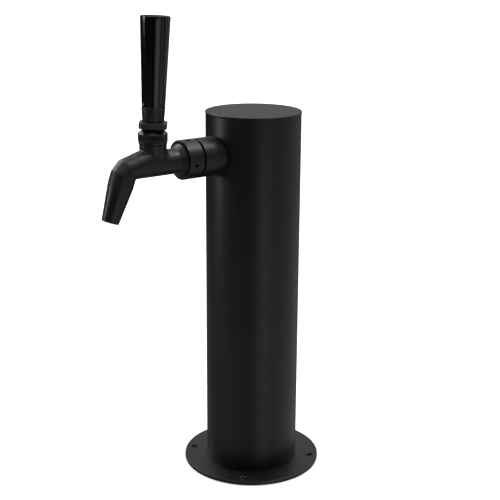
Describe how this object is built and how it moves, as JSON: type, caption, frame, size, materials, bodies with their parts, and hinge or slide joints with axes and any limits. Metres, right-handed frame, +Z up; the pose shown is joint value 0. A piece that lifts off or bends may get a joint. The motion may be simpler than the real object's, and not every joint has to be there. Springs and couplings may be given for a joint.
{
  "type": "beer tap tower",
  "caption": "Single-faucet column beer tower: round powder-coated column on a bolt-down flange, shank, forward-sealing faucet with tilted spout and fluted tap handle.",
  "frame": {"origin": "centre of the base flange's underside, on the column's axis", "axes": "+Z up the column, -Y towards the faucet (the side the beer is poured on), +X to the right of someone facing the faucet from the column's back"},
  "size_m": [0.114, 0.1949, 0.3764],
  "materials": {
    "column_black": "matte black powder coat, fine orange-peel",
    "faucet_black": "matte black powder coat",
    "handle_black": "polished moulded black plastic",
    "rubber": "matte",
    "stainless": "turned stainless steel",
    "plated_steel": "nickel-plated, satin",
    "foam": "closed-cell foam",
    "vinyl": "clear flexible tubing",
    "acetal": "machined white acetal"
  },
  "bodies": {
    "tower": {"base_flange": "column_black", "column_tube": "column_black", "insulation_sleeve": "foam", "saddle_collar": "faucet_black", "shank": "stainless", "saddle_washer": "plated_steel", "shank_nut": "plated_steel", "tail_gasket": "rubber", "tail_piece": "stainless", "tail_nut": "plated_steel", "beer_line": "vinyl", "hose_clamp": "stainless", "coupling_nut": "faucet_black", "coupling_washer": "rubber", "faucet_body": "faucet_black", "spout": "faucet_black", "spout_oring": "rubber", "ball_seat": "acetal", "ball_oring": "rubber", "ball_washer": "acetal", "lever_bonnet": "faucet_black"},
    "lever": {"lever": "stainless", "lock_nut": "faucet_black", "handle_ferrule": "faucet_black", "handle_stud": "plated_steel", "tap_handle": "handle_black"},
    "shuttle": {"valve_shuttle": "stainless", "shuttle_oring": "rubber"},
    "cap": {"top_cap": "column_black", "cap_oring": "rubber"}
  },
  "joints": [
    {"name": "lever_pivot", "type": "hinge", "parent": "tower", "child": "lever", "pos_m": [0, -0.0934, 0.2867], "axis": [1, 0, 0], "range_deg": [0, 22]},
    {"name": "shuttle_slide", "type": "slide", "parent": "tower", "child": "shuttle", "axis": [0, 1, 0], "range_m": [0, 0.0071]},
    {"name": "cap_lift", "type": "slide", "parent": "tower", "child": "cap", "axis": [0, 0, 1], "range_m": [0, 0.03]}
  ],
  "couplings": [
    {"joint": "shuttle_slide", "follows": "lever_pivot", "m_per_rad": 0.0182}
  ]
}
